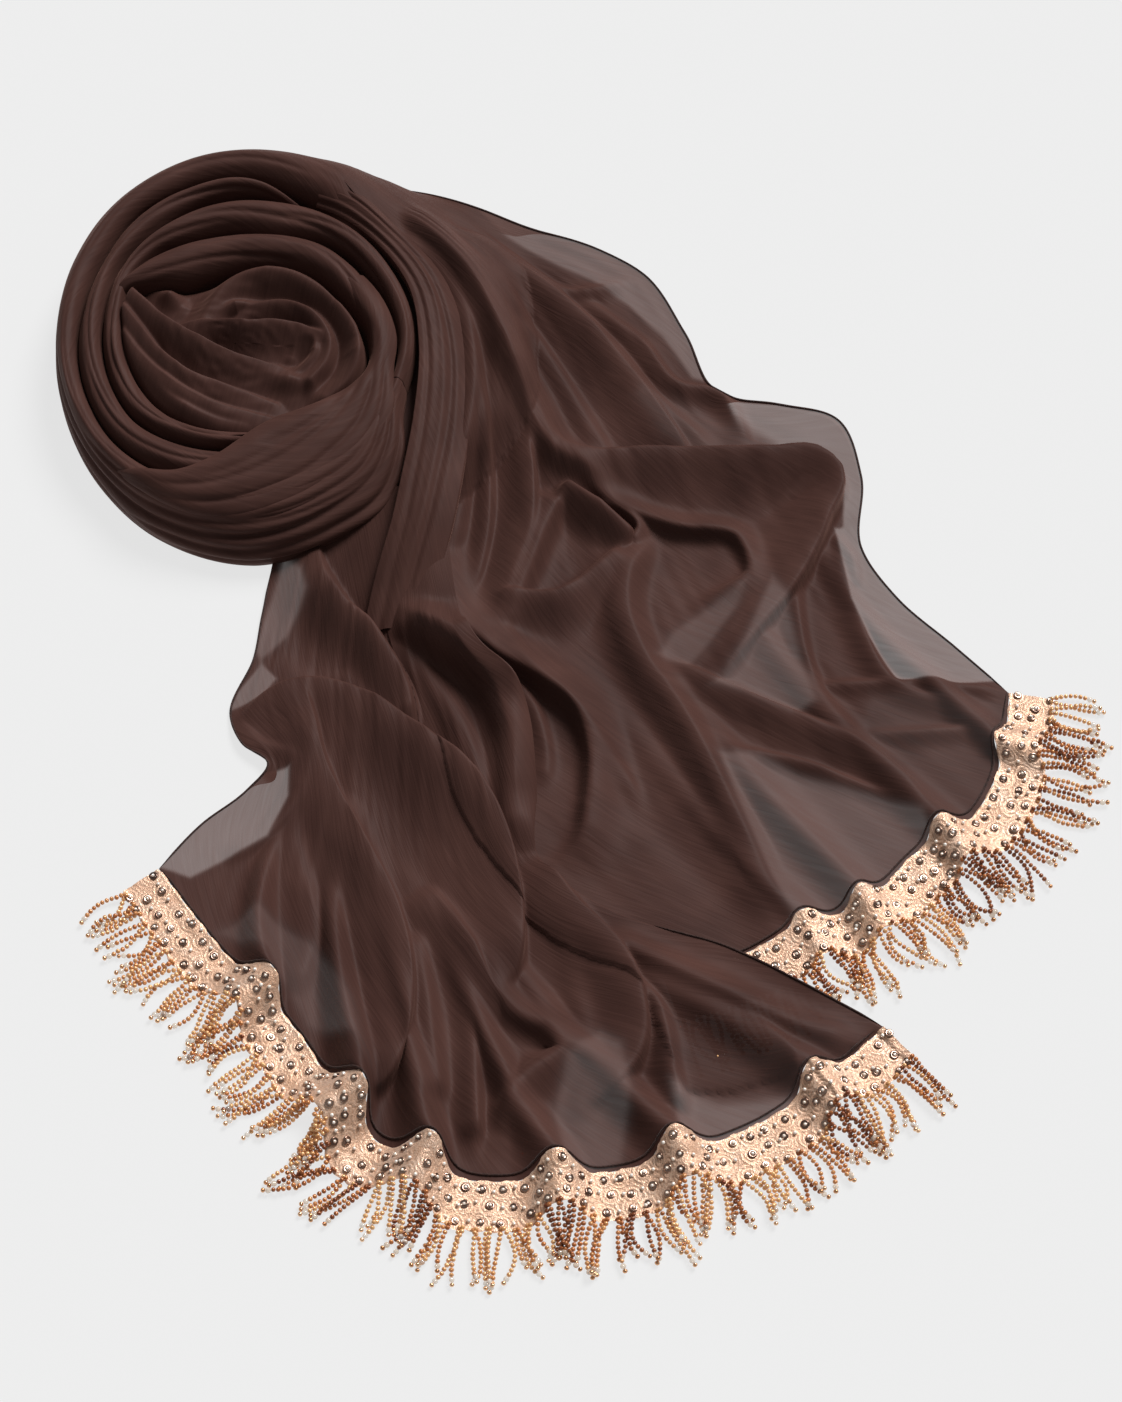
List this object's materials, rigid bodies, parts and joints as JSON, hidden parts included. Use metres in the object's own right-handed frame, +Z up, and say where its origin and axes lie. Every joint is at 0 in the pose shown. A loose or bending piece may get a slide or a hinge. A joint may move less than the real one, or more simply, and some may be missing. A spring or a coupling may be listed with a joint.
{
  "type": "sequin hijab",
  "caption": "Sheer chiffon hijab wound into a rosette, both ends spread out, each with an embroidered sequin trim and a beaded fringe.",
  "frame": {"origin": "on the table, under the middle of the whole piece", "axes": "+Z up; +Y away from the viewer of the picture, towards the rosette; +X to the viewer's right"},
  "size_m": [0.7293, 0.8563, 0.0602],
  "materials": {
    "chiffon": "sheer crinkled chiffon with a soft sheen, dark brown where layers lie together",
    "sequin_trim": "rose-gold embroidered net with cord swirls, sequins and small beads",
    "bead_fringe": "strings of copper and amber seed beads, each ending in a clear bead and a gold bead"
  },
  "bodies": {
    "root": {"coil_core": "chiffon", "heart": "chiffon", "inner_turn": "chiffon", "third_turn": "chiffon", "second_turn": "chiffon", "outer_turn": "chiffon", "shoulder_band": "chiffon", "front_tail": "chiffon", "rear_tail": "chiffon", "front_trim": "sequin_trim", "rear_trim": "sequin_trim", "front_fringe": "bead_fringe", "rear_fringe": "bead_fringe"}
  },
  "joints": []
}
